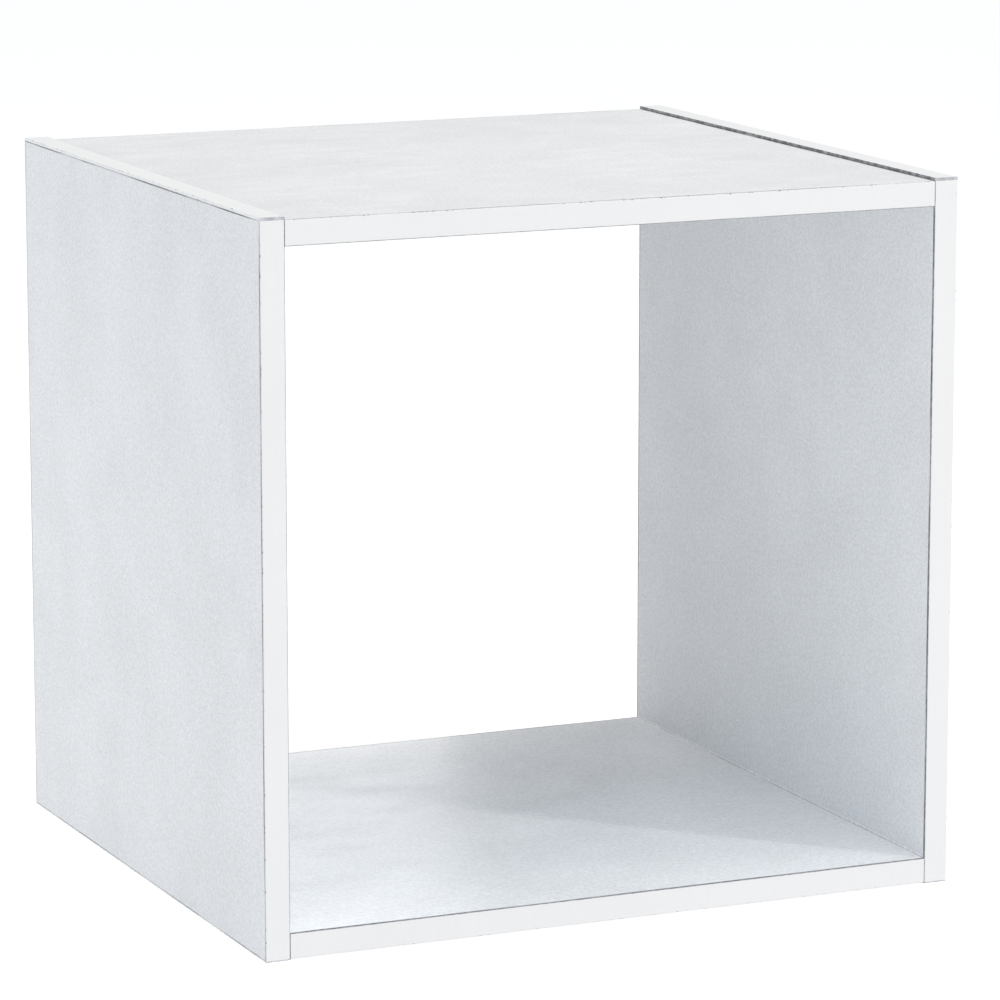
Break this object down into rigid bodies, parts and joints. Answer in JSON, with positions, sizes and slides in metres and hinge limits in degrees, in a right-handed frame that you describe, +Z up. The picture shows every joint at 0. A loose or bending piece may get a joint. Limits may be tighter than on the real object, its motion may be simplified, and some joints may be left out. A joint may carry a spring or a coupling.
{
  "type": "cube storage unit",
  "caption": "Open cube storage unit: two side panels with a top and bottom panel between them, open front and back, melamine-faced chipboard joined by cam locks, bolts and dowels",
  "frame": {"origin": "centre of the footprint, on the floor under the side panels", "axes": "+X along the width, to the right seen from the front; +Y to the back; +Z up"},
  "size_m": [0.35, 0.32, 0.34],
  "materials": {
    "chipboard": "raw chipboard core, matte",
    "melamine": "white melamine face, satin with a faint pearl",
    "edge_band": "white edge band, satin to semi-gloss",
    "cam_metal": "die-cast zinc, dull",
    "bolt_metal": "bright zinc-plated steel",
    "dowel_wood": "raw fluted beech"
  },
  "bodies": {
    "cabinet": {"left_side_core": "chipboard", "left_side_outer_face": "melamine", "left_side_inner_face": "melamine", "left_side_front_band": "edge_band", "left_side_back_band": "edge_band", "left_side_cap_band": "edge_band", "left_side_foot_band": "edge_band", "right_side_core": "chipboard", "right_side_outer_face": "melamine", "right_side_inner_face": "melamine", "right_side_front_band": "edge_band", "right_side_back_band": "edge_band", "right_side_cap_band": "edge_band", "right_side_foot_band": "edge_band", "top_panel_core": "chipboard", "top_panel_upper_face": "melamine", "top_panel_lower_face": "melamine", "top_panel_front_band": "edge_band", "top_panel_back_band": "edge_band", "bottom_panel_core": "chipboard", "bottom_panel_upper_face": "melamine", "bottom_panel_lower_face": "melamine", "bottom_panel_front_band": "edge_band", "bottom_panel_back_band": "edge_band", "cam_bolt_top_left_front": "bolt_metal", "cam_bolt_top_left_back": "bolt_metal", "cam_bolt_top_right_front": "bolt_metal", "cam_bolt_top_right_back": "bolt_metal", "cam_bolt_bottom_left_front": "bolt_metal", "cam_bolt_bottom_left_back": "bolt_metal", "cam_bolt_bottom_right_front": "bolt_metal", "cam_bolt_bottom_right_back": "bolt_metal", "dowel_top_left_front": "dowel_wood", "dowel_top_left_back": "dowel_wood", "dowel_top_right_front": "dowel_wood", "dowel_top_right_back": "dowel_wood", "dowel_bottom_left_front": "dowel_wood", "dowel_bottom_left_back": "dowel_wood", "dowel_bottom_right_front": "dowel_wood", "dowel_bottom_right_back": "dowel_wood"},
    "cam_top_left_front": {"cam_lock_top_left_front": "cam_metal"},
    "cam_top_left_back": {"cam_lock_top_left_back": "cam_metal"},
    "cam_top_right_front": {"cam_lock_top_right_front": "cam_metal"},
    "cam_top_right_back": {"cam_lock_top_right_back": "cam_metal"},
    "cam_bottom_left_front": {"cam_lock_bottom_left_front": "cam_metal"},
    "cam_bottom_left_back": {"cam_lock_bottom_left_back": "cam_metal"},
    "cam_bottom_right_front": {"cam_lock_bottom_right_front": "cam_metal"},
    "cam_bottom_right_back": {"cam_lock_bottom_right_back": "cam_metal"}
  },
  "joints": [
    {"name": "cam_turn_top_left_front", "type": "hinge", "parent": "cabinet", "child": "cam_top_left_front", "pos_m": [-0.139, -0.123, 0.3325], "axis": [0, 0, -1], "range_deg": [0, 190]},
    {"name": "cam_turn_top_left_back", "type": "hinge", "parent": "cabinet", "child": "cam_top_left_back", "pos_m": [-0.139, 0.123, 0.3325], "axis": [0, 0, -1], "range_deg": [0, 190]},
    {"name": "cam_turn_top_right_front", "type": "hinge", "parent": "cabinet", "child": "cam_top_right_front", "pos_m": [0.139, -0.123, 0.3325], "axis": [0, 0, -1], "range_deg": [0, 190]},
    {"name": "cam_turn_top_right_back", "type": "hinge", "parent": "cabinet", "child": "cam_top_right_back", "pos_m": [0.139, 0.123, 0.3325], "axis": [0, 0, -1], "range_deg": [0, 190]},
    {"name": "cam_turn_bottom_left_front", "type": "hinge", "parent": "cabinet", "child": "cam_bottom_left_front", "pos_m": [-0.139, -0.123, 0.0065], "axis": [0, 0, -1], "range_deg": [0, 190]},
    {"name": "cam_turn_bottom_left_back", "type": "hinge", "parent": "cabinet", "child": "cam_bottom_left_back", "pos_m": [-0.139, 0.123, 0.0065], "axis": [0, 0, -1], "range_deg": [0, 190]},
    {"name": "cam_turn_bottom_right_front", "type": "hinge", "parent": "cabinet", "child": "cam_bottom_right_front", "pos_m": [0.139, -0.123, 0.0065], "axis": [0, 0, -1], "range_deg": [0, 190]},
    {"name": "cam_turn_bottom_right_back", "type": "hinge", "parent": "cabinet", "child": "cam_bottom_right_back", "pos_m": [0.139, 0.123, 0.0065], "axis": [0, 0, -1], "range_deg": [0, 190]}
  ]
}
